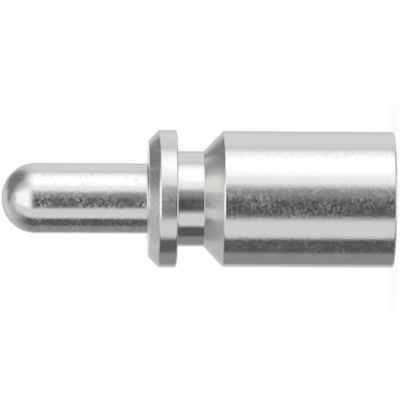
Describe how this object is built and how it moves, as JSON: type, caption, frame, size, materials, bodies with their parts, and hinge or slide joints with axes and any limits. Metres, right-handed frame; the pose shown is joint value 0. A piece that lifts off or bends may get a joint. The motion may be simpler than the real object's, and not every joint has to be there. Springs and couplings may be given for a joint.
{
  "type": "crimp contact pin",
  "caption": "Turned crimp contact: round-nosed mating pin, chamfered stop collar, clip groove and conical shoulder ahead of a tubular crimp barrel with a blind wire bore.",
  "frame": {"origin": "centre of the crimp barrel's rear end, the face that the contact stands on", "axes": "+Z along the contact's axis, from the rear end of the barrel to the nose of the pin"},
  "size_m": [0.0156, 0.0156, 0.0448],
  "materials": {
    "silver_plate": "gloss"
  },
  "bodies": {
    "root": {"contact_pin": "silver_plate"}
  },
  "joints": []
}
